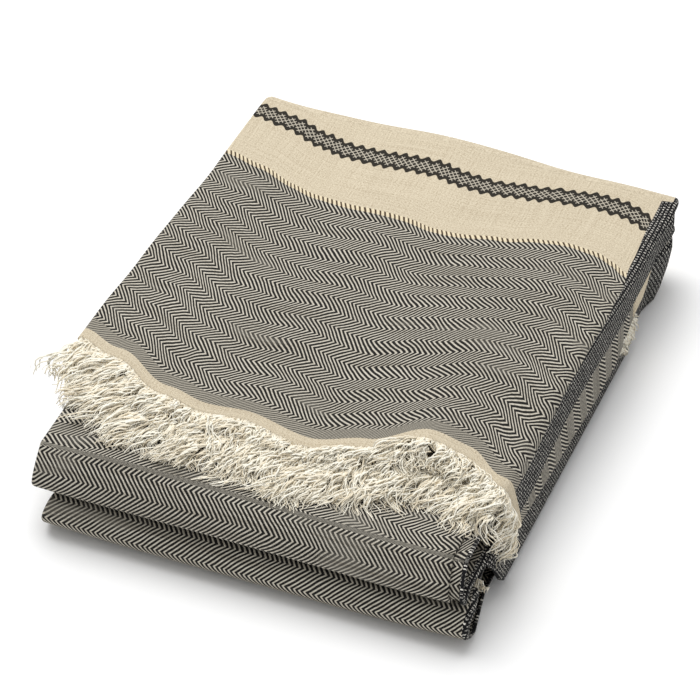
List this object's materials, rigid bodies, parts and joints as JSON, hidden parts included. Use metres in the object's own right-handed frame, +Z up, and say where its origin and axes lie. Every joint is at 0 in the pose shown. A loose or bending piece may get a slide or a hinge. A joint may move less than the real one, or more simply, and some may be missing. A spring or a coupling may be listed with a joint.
{
  "type": "folded guest towel",
  "caption": "Woven guest towel with a herringbone field, plain end bands and a yarn fringe, folded in layers into a flat bundle.",
  "frame": {"origin": "on the table under the middle of the folded bundle", "axes": "+X across the bundle to the side where the long ply hangs down, +Y from the front folds to the back folds, +Z up"},
  "size_m": [0.2148, 0.2644, 0.0516],
  "materials": {
    "cloth": "matte",
    "fringe": "matte"
  },
  "bodies": {
    "root": {"towel": "cloth", "fringe_top": "fringe", "fringe_inner": "fringe", "fringe_corner": "fringe"}
  },
  "joints": []
}
